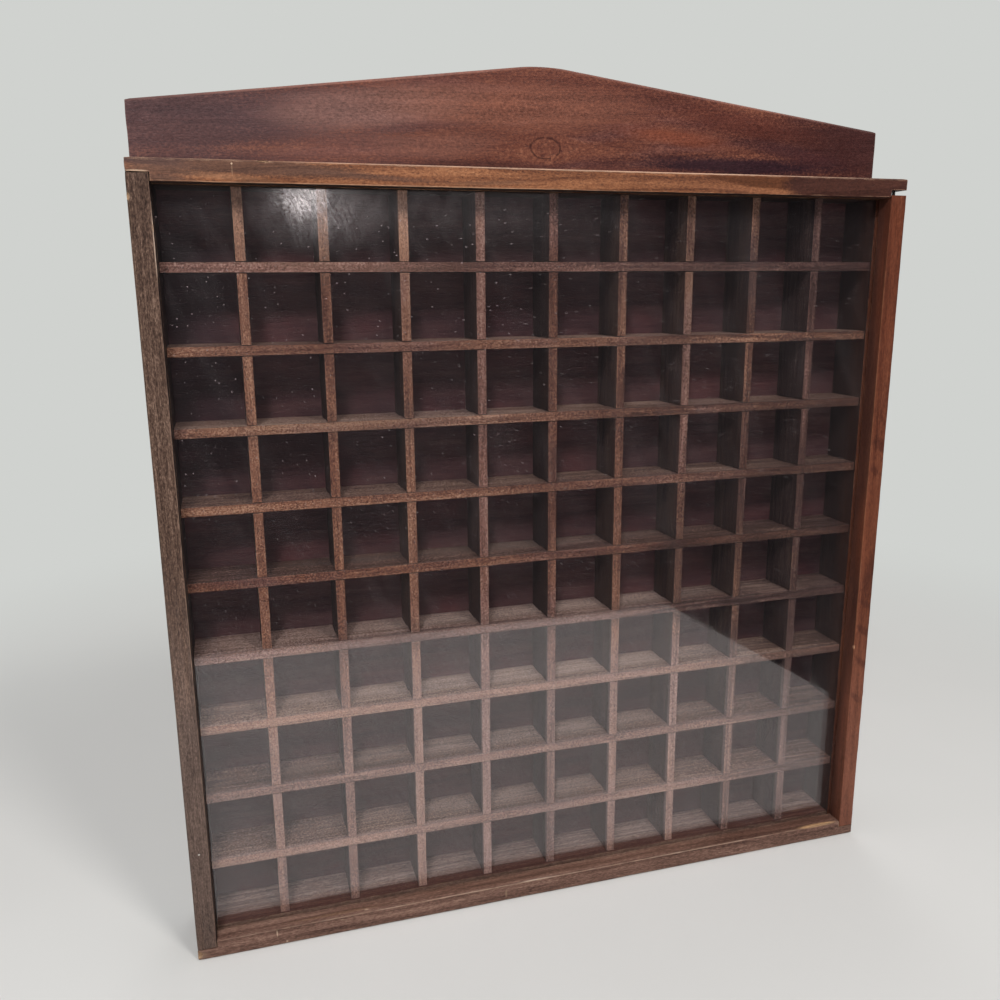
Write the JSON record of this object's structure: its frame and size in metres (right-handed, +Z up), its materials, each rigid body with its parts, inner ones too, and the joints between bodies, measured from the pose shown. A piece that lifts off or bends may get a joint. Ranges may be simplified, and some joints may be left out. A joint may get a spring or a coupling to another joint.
{
  "type": "thimble display case",
  "caption": "Shallow glazed wooden wall case with a gabled crest and an egg-crate of small square compartments; the glass front lifts out through the top.",
  "frame": {"origin": "middle of the footprint, on the surface the case stands on", "axes": "+X to the viewer's right, +Y from the glass front towards the wall, +Z up"},
  "size_m": [0.381, 0.0412, 0.43],
  "materials": {
    "crest_wood": "satin red-brown stain",
    "golden_rail_wood": "satin golden-brown stain, streaky grain",
    "worn_rail_wood": "dull grey-brown stain, worn edges",
    "dark_side_wood": "dull dark stain, open grain",
    "orange_side_wood": "satin orange-brown stain",
    "slat_wood": "sawn, thin brown stain",
    "panel_wood": "brown stained thin ply",
    "clear_glass": "clear, slightly dusty",
    "hanger_brass": "dull",
    "nail_steel": "dull"
  },
  "bodies": {
    "case": {"top_rail": "golden_rail_wood", "bottom_rail": "worn_rail_wood", "left_side_board": "dark_side_wood", "right_side_board": "orange_side_wood", "back_panel": "panel_wood", "crest_board": "crest_wood", "left_hanger": "hanger_brass", "right_hanger": "hanger_brass", "frame_nails": "nail_steel", "crest_nails": "nail_steel", "back_panel_nails": "nail_steel", "hanger_nails": "nail_steel", "shelf_1": "slat_wood", "shelf_2": "slat_wood", "shelf_3": "slat_wood", "shelf_4": "slat_wood", "shelf_5": "slat_wood", "shelf_6": "slat_wood", "shelf_7": "slat_wood", "shelf_8": "slat_wood", "shelf_9": "slat_wood", "divider_1": "slat_wood", "divider_2": "slat_wood", "divider_3": "slat_wood", "divider_4": "slat_wood", "divider_5": "slat_wood", "divider_6": "slat_wood", "divider_7": "slat_wood", "divider_8": "slat_wood", "divider_9": "slat_wood"},
    "pane": {"glass_pane": "clear_glass"}
  },
  "joints": [
    {"name": "glass_lift", "type": "slide", "parent": "case", "child": "pane", "axis": [0, 0, 1], "range_m": [0, 0.38]}
  ]
}
